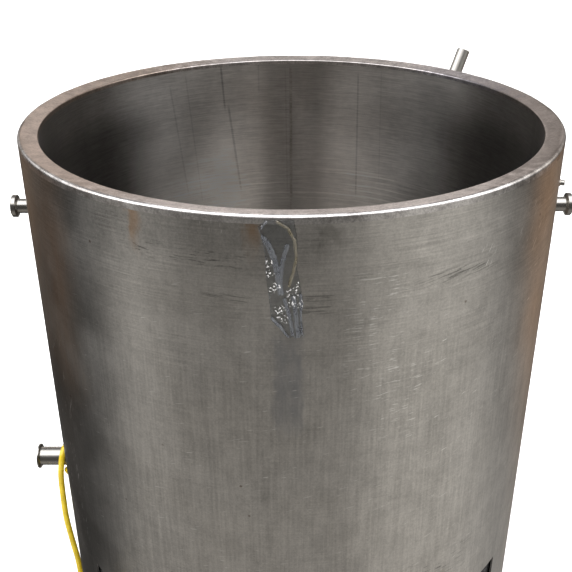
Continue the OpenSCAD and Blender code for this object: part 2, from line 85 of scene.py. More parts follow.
class Graph:
    """A short way to write a node tree: each call adds a node and returns its output socket."""

    def __init__(self, tree):
        self.tree = tree

    def add(self, kind, **settings):
        node = self.tree.nodes.new(kind)
        for name, value in settings.items():
            setattr(node, name, value)
        return node

    def feed(self, socket, value):
        if isinstance(value, bpy.types.NodeSocket):
            self.tree.links.new(value, socket)
        elif value is not None:
            socket.default_value = value

    def math(self, operation, a, b=None, c=None):
        node = self.add("ShaderNodeMath", operation=operation)
        for socket, value in zip(node.inputs, (a, b, c)):
            self.feed(socket, value)
        return node.outputs[0]

    def times(self, a, b):
        return self.math("MULTIPLY", a, b)

    def plus(self, a, b):
        return self.math("ADD", a, b)

    def minus(self, a, b):
        return self.math("SUBTRACT", a, b)

    def coloured(self, colour, shade):
        """colour times a grey shade."""
        if not isinstance(colour, bpy.types.NodeSocket):
            colour = rgba(colour)
        return self.mix(1.0, colour, self.grey(shade), blend="MULTIPLY")

    def scaled(self, vector, factors):
        node = self.add("ShaderNodeVectorMath", operation="MULTIPLY")
        self.feed(node.inputs[0], vector)
        self.feed(node.inputs[1], factors)
        return node.outputs[0]

    def noise(self, vector, detail=4.0, rough=0.55, scale=1.0):
        node = self.add("ShaderNodeTexNoise")
        self.feed(node.inputs["Vector"], vector)
        node.inputs["Scale"].default_value = scale
        node.inputs["Detail"].default_value = detail
        node.inputs["Roughness"].default_value = rough
        return node.outputs["Fac"]

    def cells(self, vector, scale):
        node = self.add("ShaderNodeTexVoronoi")
        self.feed(node.inputs["Vector"], vector)
        node.inputs["Scale"].default_value = scale
        return node.outputs["Distance"]

    def span(self, value, low, high, to_low=0.0, to_high=1.0):
        """Smooth step of value from low..high to to_low..to_high."""
        node = self.add("ShaderNodeMapRange", interpolation_type="SMOOTHSTEP")
        for socket, given in zip(node.inputs, (value, low, high, to_low, to_high)):
            self.feed(socket, given)
        return node.outputs[0]

    def window(self, value, centre, half, soft):
        """1 within half of centre, 0 further than half + soft."""
        away = self.math("ABSOLUTE", self.minus(value, centre))
        return self.span(away, half, half + soft, 1.0, 0.0)

    def mix(self, share, a, b, blend="MIX"):
        node = self.add("ShaderNodeMix", data_type="RGBA", blend_type=blend, clamp_factor=True)
        self.feed(node.inputs["Factor"], share)
        self.feed(node.inputs[6], a)
        self.feed(node.inputs[7], b)
        return node.outputs[2]

    def grey(self, value):
        node = self.add("ShaderNodeCombineColor")
        for socket in node.inputs:
            self.feed(socket, value)
        return node.outputs[0]

    def bump(self, height, distance, strength, normal=None):
        node = self.add("ShaderNodeBump")
        node.inputs["Strength"].default_value = strength
        node.inputs["Distance"].default_value = distance
        self.feed(node.inputs["Height"], height)
        self.feed(node.inputs["Normal"], normal)
        return node.outputs[0]


class Place:
    """Sockets with the point on the piece: x, y, z, the azimuth from the front in degrees and the radius."""

    def __init__(self, g):
        self.point = g.add("ShaderNodeTexCoord").outputs["Object"]
        parts = g.add("ShaderNodeSeparateXYZ")
        g.feed(parts.inputs[0], self.point)
        self.x, self.y, self.z = parts.outputs
        turn = g.math("ARCTAN2", self.x, g.times(self.y, -1.0))
        self.azimuth = g.math("DEGREES", turn)
        back = g.math("ARCTAN2", self.x, self.y)
        self.back_azimuth = g.math("DEGREES", back)
        squares = g.plus(g.math("POWER", self.x, 2.0), g.math("POWER", self.y, 2.0))
        self.radius = g.math("SQRT", squares)


def new_material(name):
    material = bpy.data.materials.new(name)
    material.use_nodes = True
    shader = material.node_tree.nodes["Principled BSDF"]
    return material, Graph(material.node_tree), shader


def rgba(colour):
    return (*colour, 1.0)


def paint(g, shader, colour, roughness, normal):
    g.feed(shader.inputs["Base Color"], colour)
    g.feed(shader.inputs["Roughness"], roughness)
    g.feed(shader.inputs["Normal"], normal)


# ---------- metals ----------

BRUSHED = 0.6
# brushed lines run round the vat, so reflections blur across them, up and down
ACROSS = 0.25


def as_metal(shader, brushed=False):
    shader.inputs["Metallic"].default_value = 1.0
    if brushed:
        shader.inputs["Anisotropic"].default_value = BRUSHED
        shader.inputs["Anisotropic Rotation"].default_value = ACROSS


def stretched(g, place, across, along, detail=4.0, rough=0.55):
    """Noise with one scale round the vat and another up it."""
    return g.noise(g.scaled(place.point, (across, across, along)), detail=detail, rough=rough)


def wall_shade(g, place):
    """Shade near 1 of rolled sheet: level brush lines at the top, weathered upright streaks lower down, and
    painted shade below the rim left of the film and low on the left.
    """
    low_down = g.span(place.z, 1.08, 0.80)
    fine = g.span(stretched(g, place, 260.0, 12.0, 5.0), 0.3, 0.7, -0.085, 0.085)
    middle = g.span(stretched(g, place, 60.0, 3.5, 5.0), 0.3, 0.7, -0.045, 0.045)
    upright = g.times(g.plus(fine, middle), g.span(low_down, 0.0, 1.0, 0.30, 1.0))
    broad = g.span(stretched(g, place, 7.0, 1.6, 3.0), 0.3, 0.7, -0.06, 0.06)
    lines = g.span(stretched(g, place, 9.0, 420.0, 4.0, 0.7), 0.3, 0.7, -0.15, 0.15)
    broken = g.span(stretched(g, place, 16.0, 30.0, 3.0), 0.36, 0.60, 0.25, 1.0)
    level = g.times(g.times(lines, broken), g.span(low_down, 0.0, 1.0, 1.0, 0.35))
    mottle = g.span(g.noise(place.point, detail=8.0, rough=0.75, scale=22.0), 0.34, 0.66, -0.10, 0.10)
    grain = g.span(g.noise(place.point, detail=4.0, rough=0.8, scale=300.0), 0.3, 0.7, -0.11, 0.11)
    # painted shade: the wall is darker below the rim, left of the film
    painted_dim = g.times(g.window(place.azimuth, -24.0, 24.0, 12.0), g.span(place.z, 1.03, 1.12))
    shade = g.span(painted_dim, 0.0, 1.0, 1.0, 0.80)
    for part in (upright, broad, level, mottle, grain):
        shade = g.plus(part, shade)
    # painted shade low on the left
    painted_left_shade = g.times(g.window(place.azimuth, -75.0, 20.0, 22.0), g.span(place.z, 0.98, 0.68))
    return g.times(shade, g.minus(1.0, g.times(painted_left_shade, 0.5)))


def brushing(g, place, scale):
    """Fine lines that run round the vat."""
    return stretched(g, place, 2.2, scale, 3.0, 0.7)


def zone(g, place, azimuth, height, ragged=None):
    """1 inside a patch of the wall. azimuth and height are (centre, half size, soft edge)."""
    turn, level = place.azimuth, place.z
    if ragged:
        turn = g.plus(turn, g.span(ragged, 0.3, 0.7, -0.9, 0.9))
        level = g.plus(level, g.span(ragged, 0.3, 0.7, -0.012, 0.012))
    return g.times(g.window(turn, *azimuth), g.window(level, *height))


def scratches(g, place, tilt, spacing, run, threshold):
    """Thin marks on the wall, tilted up to the right by tilt degrees."""
    along_wall = g.times(place.azimuth, math.radians(OUTER_R))
    c, s = math.cos(math.radians(tilt)), math.sin(math.radians(tilt))
    along = g.plus(g.times(along_wall, c), g.times(place.z, s))
    across = g.minus(g.times(place.z, c), g.times(along_wall, s))
    point = g.add("ShaderNodeCombineXYZ")
    g.feed(point.inputs[0], g.times(along, run))
    g.feed(point.inputs[1], g.times(across, spacing))
    g.feed(point.inputs[2], tilt / 10.0)
    return g.span(g.noise(point.outputs[0], detail=1.5, rough=0.5), threshold, threshold + 0.07)


def marked(g, place, tilt, spacing, run, threshold, azimuth, height):
    """Scratches that keep to one patch of the wall."""
    marks = scratches(g, place, tilt, spacing, run, threshold)
    return g.times(marks, zone(g, place, azimuth, height))


# pale scratches: tilt, spacing and run of the marks, their threshold, and where they are
PALE_SCRATCHES = [
    (1.0, 420.0, 30.0, 0.58, (14.5, 4.0, 2.5), (0.985, 0.065, 0.03)),
    (4.0, 420.0, 44.0, 0.61, (20.0, 4.0, 3.0), (0.87, 0.05, 0.04)),
    (52.0, 360.0, 34.0, 0.58, (55.0, 6.0, 5.0), (1.065, 0.035, 0.02)),
    (60.0, 380.0, 38.0, 0.60, (36.0, 2.0, 3.0), (1.045, 0.015, 0.015)),
    (86.0, 420.0, 80.0, 0.58, (-13.0, 2.4, 1.0), (1.129, 0.006, 0.004)),
    (75.0, 330.0, 50.0, 0.62, (-62.0, 7.0, 5.0), (0.62, 0.20, 0.10)),
    (12.0, 400.0, 40.0, 0.68, (10.0, 50.0, 20.0), (0.72, 0.28, 0.10)),
]
# dark scuffs, in the same terms
DARK_SCUFFS = [
    (-5.0, 420.0, 20.0, 0.54, (-11.0, 3.0, 2.0), (1.030, 0.003, 0.006)),
    (-2.0, 380.0, 60.0, 0.58, (-18.0, 8.0, 6.0), (1.085, 0.004, 0.014)),
    (2.0, 360.0, 26.0, 0.52, (4.4, 2.0, 2.0), (1.016, 0.004, 0.006)),
    (2.0, 360.0, 26.0, 0.54, (5.6, 2.4, 2.0), (1.033, 0.002, 0.006)),
    (9.0, 300.0, 22.0, 0.54, (31.0, 6.0, 5.0), (1.040, 0.004, 0.012)),
    (-1.0, 420.0, 34.0, 0.62, (4.0, 34.0, 14.0), (0.48, 0.03, 0.03)),
]
SCUFF_DARKNESS = 0.38
SCRATCH_PALENESS = 0.75
# stains: colour, how strong, and where
STAINS = [
    ((0.29, 0.305, 0.34), 0.60, (-0.6, 1.6, 1.8), (0.900, 0.060, 0.04)),
    ((0.44, 0.24, 0.09), 0.60, (-6.9, 0.5, 1.4), (1.136, 0.010, 0.050)),
    ((0.50, 0.26, 0.09), 0.45, (-27.5, 0.4, 1.6), (1.135, 0.010, 0.060)),
    ((0.42, 0.24, 0.10), 0.30, (-58.0, 8.0, 9.0), (0.930, 0.110, 0.10)),
    ((0.16, 0.15, 0.13), 0.45, (7.2, 1.6, 1.6), (1.126, 0.008, 0.014)),
    ((0.30, 0.27, 0.20), 0.45, (33.0, 0.9, 1.2), (0.470, 0.006, 0.008)),
]


def outer_wall_steel():
    """Worn satin sheet with scuffs, stains, scratches and rust specks, and the painted shade of wall_shade.
    """
    material, g, shader = new_material("outer_wall_steel")
    place = Place(g)
    shade = wall_shade(g, place)
    for scuff in DARK_SCUFFS:
        shade = g.minus(shade, g.times(marked(g, place, *scuff), SCUFF_DARKNESS))
    colour = g.coloured((0.60, 0.58, 0.55), shade)
    blotchy = stretched(g, place, 60.0, 22.0, 5.0)
    ragged = stretched(g, place, 26.0, 14.0, 4.0, 0.65)
    for stain, strength, azimuth, height in STAINS:
        patch = zone(g, place, azimuth, height, ragged)
        share = g.times(patch, g.span(blotchy, 0.25, 0.7, 0.4 * strength, strength))
        colour = g.mix(share, colour, rgba(stain))
    patchy = g.span(blotchy, 0.42, 0.60)
    for scratch in PALE_SCRATCHES:
        pale = g.times(g.times(marked(g, place, *scratch), patchy), SCRATCH_PALENESS)
        colour = g.mix(pale, colour, rgba((1.0, 0.99, 0.97)))
    # rust specks
    speck_cells = g.cells(place.point, 26.0)
    rare = g.span(g.noise(place.point, detail=2.0, scale=5.0), 0.50, 0.62)
    specks = g.times(g.span(speck_cells, 0.035, 0.075, 1.0, 0.0), rare)
    colour = g.mix(g.times(specks, 0.7), colour, rgba((0.13, 0.08, 0.045)))
    polish = g.noise(place.point, detail=1.0, scale=9.0)
    waves = g.bump(stretched(g, place, 3.0, 2.6, 2.0), 0.006, 0.6)
    dents = g.bump(stretched(g, place, 9.0, 8.0, 2.0), 0.0012, 0.5, waves)
    grain = g.bump(stretched(g, place, 420.0, 30.0, 3.0), 0.00010, 0.5, dents)
    lines = g.bump(brushing(g, place, 420.0), 0.00010, 0.5, grain)
    paint(g, shader, colour, g.span(polish, 0.3, 0.7, 0.31, 0.37), lines)
    as_metal(shader, brushed=True)
    return material


# dark runs down the inner wall: azimuth from the back at the top and at the bottom,
# the two heights, half width, darkness
DARK_RUNS = [
    (-20.6, -20.0, 1.130, 1.060, 0.16, 0.34), (-18.6, -15.9, 1.040, 0.870, 0.18, 0.30),
    (-36.5, -33.0, 1.100, 0.880, 0.15, 0.16), (-31.5, -28.5, 1.120, 0.860, 0.12, 0.13),
    (-9.5, -9.5, 1.136, 1.090, 0.12, 0.14), (20.0, 20.4, 1.110, 0.860, 0.14, 0.26),
    (27.0, 27.6, 1.120, 0.900, 0.10, 0.10), (-1.6, -1.2, 1.120, 0.860, 0.12, 0.10),
]
# tide lines left by the brew: height, how pale
TIDE_LINES = [
    (0.912, 0.10), (0.905, 0.16), (0.893, 0.10), (0.880, 0.13),
    (0.868, 0.10), (0.855, 0.14), (0.842, 0.08),
]
# painted reflections, lighter lengths of the inner wall: azimuth from the back, half width, gain
PAINTED_REFLECTIONS = [(-30.0, 9.5, 0.56), (19.0, 4.0, 0.33)]


def dark_run(g, place, top_azimuth, low_azimuth, top, low, half):
    """A thin run that may slant, between two heights."""
    slope = (top_azimuth - low_azimuth) / (top - low)
    middle = g.plus(g.times(g.minus(place.z, low), slope), low_azimuth)
    away = g.math("ABSOLUTE", g.minus(place.back_azimuth, middle))
    line = g.span(away, half, 2.4 * half, 1.0, 0.0)
    return g.times(line, g.window(place.z, (top + low) / 2, (top - low) / 2, 0.02))


def inner_wall_steel():
    """Brushed sheet with dark runs and tide lines, painted shade at the sides and beside the back seam, and
    painted reflections lower down.
    """
    material, g, shader = new_material("inner_wall_steel")
    place = Place(g)
    lines = brushing(g, place, 520.0)
    coarse = brushing(g, place, 90.0)
    # short brush strokes
    strokes = stretched(g, place, 26.0, 430.0, 3.0, 0.7)
    shade = g.plus(g.span(lines, 0.3, 0.7, 0.94, 1.06), g.span(coarse, 0.3, 0.7, -0.035, 0.035))
    shade = g.plus(shade, g.span(strokes, 0.3, 0.7, -0.13, 0.13))
    broad = stretched(g, place, 13.0, 2.0, 4.0)
    shade = g.plus(shade, g.span(broad, 0.3, 0.7, -0.07, 0.07))
    mottle = g.noise(place.point, detail=6.0, rough=0.7, scale=60.0)
    shade = g.plus(shade, g.span(mottle, 0.3, 0.7, -0.05, 0.05))
    for *line, darkness in DARK_RUNS:
        shade = g.minus(shade, g.times(dark_run(g, place, *line), darkness))
    wobble = g.times(g.noise(place.point, scale=3.0), 0.02)
    level = g.plus(place.z, wobble)
    faded = g.span(stretched(g, place, 7.0, 30.0, 3.0), 0.38, 0.6)
    for height, gain in TIDE_LINES:
        line = g.times(g.window(level, height, 0.0008, 0.0018), faded)
        shade = g.plus(shade, g.times(line, 2.0 * gain))
    # painted shade: the sides of the vessel are darker, and so is the strip beside the seam at the back
    sideways = g.math("ABSOLUTE", place.back_azimuth)
    painted_dim = g.times(g.window(sideways, 78.0, 12.0, 42.0), g.span(place.z, 1.12, 1.02, 0.65, 1.0))
    shade = g.times(shade, g.span(painted_dim, 0.0, 1.0, 1.0, 0.19))
    painted_seam_shade = g.window(place.back_azimuth, 1.0, 4.0, 12.0)
    shade = g.times(shade, g.span(painted_seam_shade, 0.0, 1.0, 1.0, 0.62))
    # painted reflections brighten these lengths low on the inner wall
    lower = g.span(place.z, 1.06, 0.92)
    for azimuth, half, gain in PAINTED_REFLECTIONS:
        painted_sheen = g.times(g.window(place.back_azimuth, azimuth, half, 17.0), lower)
        shade = g.plus(shade, g.times(painted_sheen, gain))
    colour = g.coloured((0.66, 0.633, 0.605), shade)
    polish = g.noise(place.point, detail=1.0, scale=7.0)
    waves = g.bump(stretched(g, place, 4.0, 2.0, 2.0), 0.003, 0.6)
    grooves = g.bump(brushing(g, place, 160.0), 0.0001, 0.4, waves)
    paint(g, shader, colour, g.span(polish, 0.3, 0.7, 0.30, 0.35), grooves)
    as_metal(shader, brushed=True)
    return material


# lengths of the rim in another tone: soil along some, painted shade along the right side and a painted sky
# reflection along the front: azimuth, half size and soft edge, colour, share
RIM_SOIL_AND_PAINTED_LIGHT = [
    (-90.0, 45.0, 28.0, (0.36, 0.285, 0.235), 0.85),
    (88.0, 30.0, 26.0, (0.25, 0.22, 0.205), 0.90),
    (128.0, 8.0, 16.0, (0.34, 0.33, 0.37), 0.60),
    (2.0, 14.0, 20.0, (0.74, 0.70, 0.69), 0.60),
]


def rim_steel():
    """Ground steel, soiled along some lengths, with painted shade and a painted reflection along others."""
    material, g, shader = new_material("rim_steel")
    place = Place(g)
    ground = g.noise(place.point, detail=7.0, rough=0.75, scale=40.0)
    grit = g.noise(place.point, detail=4.0, rough=0.8, scale=300.0)
    broad = g.noise(place.point, detail=2.0, scale=5.0)
    shade = g.plus(g.span(ground, 0.34, 0.66, 0.76, 1.18), g.span(broad, 0.3, 0.7, -0.07, 0.07))
    shade = g.plus(shade, g.span(grit, 0.3, 0.7, -0.22, 0.22))
    colour = rgba((0.60, 0.565, 0.55))
    for azimuth, half, soft, rim_tone, share in RIM_SOIL_AND_PAINTED_LIGHT:
        turn = g.math("ABSOLUTE", g.minus(place.azimuth, azimuth))
        turn = g.plus(turn, g.span(ground, 0.3, 0.7, -9.0, 9.0))
        colour = g.mix(g.span(turn, half, half + soft, share, 0.0), colour, rgba(rim_tone))
    # handling keeps the outer edge bright
    outermost = g.span(place.radius, OUTER_R - 0.0055, OUTER_R - 0.0035)
    worn = g.times(outermost, g.span(ground, 0.3, 0.6, 0.5, 0.9))
    colour = g.mix(worn, colour, rgba((0.72, 0.70, 0.69)))
    paint(
        g, shader,
        g.coloured(colour, shade),
        g.span(broad, 0.3, 0.7, 0.30, 0.36),
        g.bump(g.noise(place.point, detail=3.0, scale=60.0), 0.0005, 0.5),
    )
    as_metal(shader)
    return material


def fine_steel(name, colour, rough, grain_scale, grain_depth, stain):
    """Satin or polished steel of the small parts."""
    material, g, shader = new_material(name)
    place = Place(g)
    cloudy = g.noise(place.point, detail=5.0, scale=22.0)
    grain = g.noise(place.point, detail=4.0, rough=0.65, scale=grain_scale)
    shade = g.plus(g.span(cloudy, 0.3, 0.7, 1.0 - stain, 1.0), g.span(grain, 0.3, 0.7, -0.03, 0.03))
    paint(
        g, shader,
        g.coloured(colour, shade),
        g.span(cloudy, 0.3, 0.7, rough, rough + 0.08),
        g.bump(grain, grain_depth, 0.5),
    )
    as_metal(shader)
    return material


def weld_steel():
    """Rippled bead, tinted by the heat."""
    material, g, shader = new_material("weld_steel")
    place = Place(g)
    ripples = g.add("ShaderNodeTexWave", bands_direction="Z")
    g.feed(ripples.inputs["Vector"], place.point)
    ripples.inputs["Scale"].default_value = 110.0
    ripples.inputs["Distortion"].default_value = 1.5
    heat = g.noise(place.point, detail=3.0, scale=60.0)
    colour = g.mix(g.span(heat, 0.35, 0.65), rgba((0.50, 0.47, 0.43)), rgba((0.34, 0.27, 0.21)))
    paint(g, shader, colour, g.span(heat, 0.3, 0.7, 0.30, 0.45), g.bump(ripples.outputs["Fac"], 0.0004, 0.7))
    as_metal(shader)
    return material


def shaded_seam_steel():
    """Long seam, ground almost flush, with stains; its colour, darker than the sheet beside it, is painted
    shade of the bead.
    """
    material, g, shader = new_material("shaded_seam_steel")
    place = Place(g)
    stain = stretched(g, place, 60.0, 16.0, 5.0)
    ripples = stretched(g, place, 90.0, 420.0, 2.0)
    shade = g.plus(g.span(stain, 0.3, 0.7, 0.75, 1.05), g.span(ripples, 0.3, 0.7, -0.10, 0.10))
    # the dark base colour paints in the shade of the bead
    paint(
        g, shader,
        g.coloured((0.40, 0.38, 0.355), shade),
        g.span(stain, 0.3, 0.7, 0.32, 0.45),
        g.bump(ripples, 0.0003, 0.5),
    )
    as_metal(shader)
    return material


# ---------- rubber, foam, plastic and cord ----------

def soft_material(name, colour, mottled, rough, scale, depth, coat):
    """Rubber, foam or moulded plastic: a mottled colour with a grain."""
    material, g, shader = new_material(name)
    place = Place(g)
    mottle = g.noise(place.point, detail=4.0, scale=scale * 0.2)
    grain = g.noise(place.point, detail=4.0, rough=0.6, scale=scale)
    paint(
        g, shader,
        g.mix(g.span(mottle, 0.3, 0.7), rgba(colour), rgba(mottled)),
        g.span(grain, 0.3, 0.7, rough, rough + 0.12),
        g.bump(grain, depth, 0.6),
    )
    shader.inputs["Coat Weight"].default_value = coat
    return material


def film_material(name, colour, through, rough):
    """Crumpled film that lets part of the light through."""
    material, g, shader = new_material(name)
    place = Place(g)
    wrinkle = stretched(g, place, 260.0, 170.0, 4.0, 0.6)
    milky = stretched(g, place, 90.0, 40.0, 3.0)
    pale = tuple(0.12 + 0.88 * c for c in colour)
    paint(
        g, shader,
        g.mix(g.span(milky, 0.35, 0.7), rgba(colour), rgba(pale)),
        g.span(milky, 0.3, 0.7, rough, rough + 0.12),
        g.bump(wrinkle, 0.0006, 0.6),
    )
    shader.inputs["Transmission Weight"].default_value = through
    shader.inputs["IOR"].default_value = 1.5
    return material


# colour, roughness, grain scale, grain depth, how much darker the stains are
STEEL_LOOKS = {
    "fitting_steel": ((0.52, 0.50, 0.47), 0.32, 160.0, 0.0003, 0.2),
    "turned_steel": ((0.45, 0.435, 0.41), 0.22, 240.0, 0.0001, 0.08),
    "cast_steel": ((0.66, 0.64, 0.61), 0.24, 120.0, 0.0004, 0.12),
    "fastener_steel": ((0.62, 0.61, 0.59), 0.22, 300.0, 0.0002, 0.15),
    "dish_steel": ((0.36, 0.345, 0.325), 0.40, 120.0, 0.0003, 0.22),
}
# colour, colour of the mottles, roughness, grain scale, grain depth, glossy coat
SOFT_LOOKS = {
    # the foam's near-black colour also paints in the deep shade under the vessel
    "black_foam": ((0.012, 0.012, 0.013), (0.028, 0.027, 0.026), 0.82, 320.0, 0.0012, 0.0),
    "white_seal": ((0.82, 0.81, 0.77), (0.66, 0.63, 0.57), 0.42, 400.0, 0.0002, 0.0),
    "black_seal": ((0.018, 0.018, 0.019), (0.035, 0.034, 0.033), 0.55, 500.0, 0.0002, 0.0),
    "grip_plastic": ((0.02, 0.02, 0.024), (0.045, 0.045, 0.05), 0.38, 700.0, 0.0002, 0.0),
    "yellow_cord": ((0.74, 0.55, 0.020), (0.60, 0.42, 0.012), 0.26, 260.0, 0.0001, 0.3),
    "tie_plastic": ((0.55, 0.40, 0.03), (0.42, 0.30, 0.02), 0.45, 500.0, 0.0002, 0.0),
}
# colour, how clear, roughness
FILM_LOOKS = {
    "clear_film": ((0.86, 0.88, 0.90), 1.0, 0.05),
    "milky_film": ((0.19, 0.20, 0.22), 0.70, 0.24),
    "aged_film": ((0.22, 0.185, 0.11), 0.70, 0.22),
    # lighter, less clear film that paints in the glints of the crumpled spots
    "painted_glint_film": ((0.86, 0.85, 0.83), 0.55, 0.10),
}


def make_materials():
    made = {
        "outer_wall_steel": outer_wall_steel(),
        "inner_wall_steel": inner_wall_steel(),
        "rim_steel": rim_steel(),
        "weld_steel": weld_steel(),
        "shaded_seam_steel": shaded_seam_steel(),
    }
    for make, looks in ((fine_steel, STEEL_LOOKS), (soft_material, SOFT_LOOKS), (film_material, FILM_LOOKS)):
        for name, look in looks.items():
            made[name] = make(name, *look)
    return made


# nodes that look different from the rest of their slot
OWN_LOOKS = {"inner_seam_weld": "shaded_seam_steel", "outer_seam_weld": "shaded_seam_steel", "bottom_head": "dish_steel"}


def paint_frame(materials):
    """Gives every CAD node the material of its slot in the record."""
    for part in frame["record"]["subparts"]:
        piece = nodes[part["node"]]
        piece.data.materials.clear()
        look = OWN_LOOKS.get(part["node"], part["material_slot"])
        piece.data.materials.append(materials[look])


def dress(piece, body, slot, *stands_for):
    """Gives a piece its material, its body and the CAD nodes that it replaces."""
    piece.data.materials.clear()
    piece.data.materials.append(MATERIALS[slot])
    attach(piece, body)
    if stands_for:
        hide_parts(*stands_for)
    return piece


# ---------- mesh helpers ----------

def mesh_piece(name, verts, faces, smooth=True):
    mesh = bpy.data.meshes.new(name)
    mesh.from_pydata([tuple(v) for v in verts], [], faces)
    mesh.validate()
    mesh.polygons.foreach_set("use_smooth", [smooth] * len(mesh.polygons))
    piece = bpy.data.objects.new(name, mesh)
    scene.collection.objects.link(piece)
    bm = bmesh.new()
    bm.from_mesh(mesh)
    bmesh.ops.recalc_face_normals(bm, faces=bm.faces)
    bm.to_mesh(mesh)
    bm.free()
    return piece


def ring_faces(rings, sides):
    """Quads between rings of sides points each, closed both ways."""
    faces = []
    for i in range(rings):
        n = (i + 1) % rings
        for k in range(sides):
            m = (k + 1) % sides
            faces.append((i * sides + k, n * sides + k, n * sides + m, i * sides + m))
    return faces


def tube_faces(rows, sides, closed=False):
    """Quads along a tube of rows of sides points. An open tube gets both ends."""
    faces = []
    for i in range(rows if closed else rows - 1):
        for k in range(sides):
            a, b = i * sides, ((i + 1) % rows) * sides
            faces.append((a + k, a + (k + 1) % sides, b + (k + 1) % sides, b + k))
    if not closed:
        faces.append(tuple(range(sides))[::-1])
        faces.append(tuple((rows - 1) * sides + k for k in range(sides)))
    return faces


def swept(name, points, radii, sides, closed=False):
    """Tube along points with its own radius at each."""
    count = len(points)
    verts = []
    normal = None
    for i, point in enumerate(points):
        before = points[(i - 1) % count] if closed or i else point
        after = points[(i + 1) % count] if closed or i < count - 1 else point
        along = (after - before).normalized()
        if normal is None:
            normal = along.orthogonal().normalized()
        normal = (normal - along * normal.dot(along)).normalized()
        other = along.cross(normal)
        for k in range(sides):
            a = 2 * math.pi * k / sides
            verts.append(point + radii[i] * (math.cos(a) * normal + math.sin(a) * other))
    return mesh_piece(name, verts, tube_faces(count, sides, closed))


# ---------- yellow cord ----------

CORD_D = 0.012
CORD_R = CORD_D / 2
INLET_Z = 0.423
HITCH_R = 0.02545
HITCH_X = -0.457
HITCH_SPREAD = 0.018
COIL_CENTRE = Vector((-0.505, -0.185, 0.0))
COIL_LIFT = 0.0015
COIL_OUTER = 0.072
COIL_INNER = COIL_OUTER - CORD_D
# azimuth from +X at which the cord joins the coil, in degrees
COIL_ENTRY = 20
# degrees round the coil over which the cord steps in, up and out, and over which its end lifts off
STEP_IN = (300, 355)
STEP_UP = (610, 665)
STEP_OUT = (925, 975)
COIL_TAIL = (1110, 1195)
TAIL_IN = 0.005
TAIL_RISE = 0.016
# degrees round the ferrule's neck
HITCH_START = 240
HITCH_TURN = 300
# the cord's way from the ferrule down to the coil
CORD_DROP = [
    (-0.478, -0.026, 0.405), (-0.480, -0.027, 0.385), (-0.481, -0.027, 0.360),
    (-0.482, -0.027, 0.320), (-0.482, -0.027, 0.280), (-0.479, -0.027, 0.240),
    (-0.475, -0.027, 0.200), (-0.471, -0.027, 0.160), (-0.469, -0.029, 0.120),
    (-0.469, -0.034, 0.085), (-0.468, -0.045, 0.052), (-0.466, -0.064, 0.026),
    (-0.461, -0.088, 0.011), (-0.454, -0.112, 0.007), (-0.447, -0.134, 0.007),
]
# the cord is squeezed in a knot, and its ends are tucked in over this share of the wraps
KNOT_STRAND_R = 0.0052
KNOT_TUCKED = 0.12
HITCH_KNOT_PLACE = (-0.4595, -0.016, 0.3995)
HITCH_KNOT_AXIS = (0.35, 0.75, 0.55)
TAIL_KNOT_PAST = 0.004
TIE_AZIMUTH = 205
TIE_CORNER = 0.0058
TIE_HALF_WIDTH = 0.0052
TIE_T = 0.0007
TIE_GAP = 0.0009
TIE_INSET = 0.0008


def ease(value, start, end):
    """0 up to start, 1 from end, smooth between."""
    share = min(max((value - start) / (end - start), 0.0), 1.0)
    return share * share * (3 - 2 * share)


def coil_point(swept_angle):
    """Centre of the cord after it has turned that many degrees round the coil."""
    lowest = COIL_LIFT + CORD_R
    tail = ease(swept_angle, *COIL_TAIL)
    radius = COIL_OUTER - CORD_D * ease(swept_angle, *STEP_IN) + CORD_D * ease(swept_angle, *STEP_OUT)
    radius -= TAIL_IN * tail
    height = lowest + CORD_D * ease(swept_angle, *STEP_UP) + TAIL_RISE * tail
    a = math.radians(COIL_ENTRY - swept_angle)
    return COIL_CENTRE + Vector((radius * math.cos(a), radius * math.sin(a), height))


def cord_route():
    """The loop round the ferrule's neck, the drop beside the wall and the coil on the floor."""
    hitch = []
    for turned in range(0, HITCH_TURN + 1, 15):
        a = math.radians(HITCH_START + turned)
        x = HITCH_X - HITCH_SPREAD * turned / HITCH_TURN
        hitch.append(Vector((x, HITCH_R * math.cos(a), INLET_Z + HITCH_R * math.sin(a))))
    drop = [Vector(p) for p in CORD_DROP]
    coil = [coil_point(angle) for angle in range(0, COIL_TAIL[1] + 1, 13)]
    return hitch + drop + coil


def smooth_curve(name, points, radius):
    """Curve of one open spline through the points."""
    data = bpy.data.curves.new(name, "CURVE")
    data.dimensions = "3D"
    data.resolution_u = 4
    spline = data.splines.new("BEZIER")
    spline.bezier_points.add(len(points) - 1)
    for place, point in zip(spline.bezier_points, points):
        place.co = point
        place.handle_left_type = "AUTO"
        place.handle_right_type = "AUTO"
    data.bevel_depth = radius
    data.bevel_resolution = 6
    data.use_fill_caps = True
    piece = bpy.data.objects.new(name, data)
    scene.collection.objects.link(piece)
    return piece


def barrel_knot(name, centre, axis, turns, wrap_r):
    """Wraps of cord side by side round the end, with both ends tucked into the middle."""
    axis = Vector(axis).normalized()
    across = axis.orthogonal().normalized()
    other = axis.cross(across)
    length = turns * 2.02 * KNOT_STRAND_R
    steps = turns * 20
    points = []
    for i in range(steps + 1):
        share = i / steps
        a = 2 * math.pi * turns * share
        tuck = 1 - 0.75 * (1 - min(share, 1 - share, KNOT_TUCKED) / KNOT_TUCKED)
        rise = (share - 0.5) * length
        around = math.cos(a) * across + math.sin(a) * other
        points.append(Vector(centre) + axis * rise + wrap_r * tuck * around)
    return swept(name, points, [KNOT_STRAND_R] * len(points), sides=16)


def make_cord():
    points = cord_route()
    cord = smooth_curve("yellow_tether", points, CORD_R)
    dress(cord, "vat", "yellow_cord", "tether_cord", "tether_coil")
    start_knot = barrel_knot("tether_hitch_knot", HITCH_KNOT_PLACE, HITCH_KNOT_AXIS, turns=2, wrap_r=0.0085)
    dress(start_knot, "vat", "yellow_cord", "tether_knot")
    end = points[-1]
    along = (points[-1] - points[-2]).normalized()
    end_knot = barrel_knot("tether_tail_knot", end + along * TAIL_KNOT_PAST, along, turns=3, wrap_r=0.0080)
    dress(end_knot, "vat", "yellow_cord", "tail_knot")
    tie = make_coil_tie()


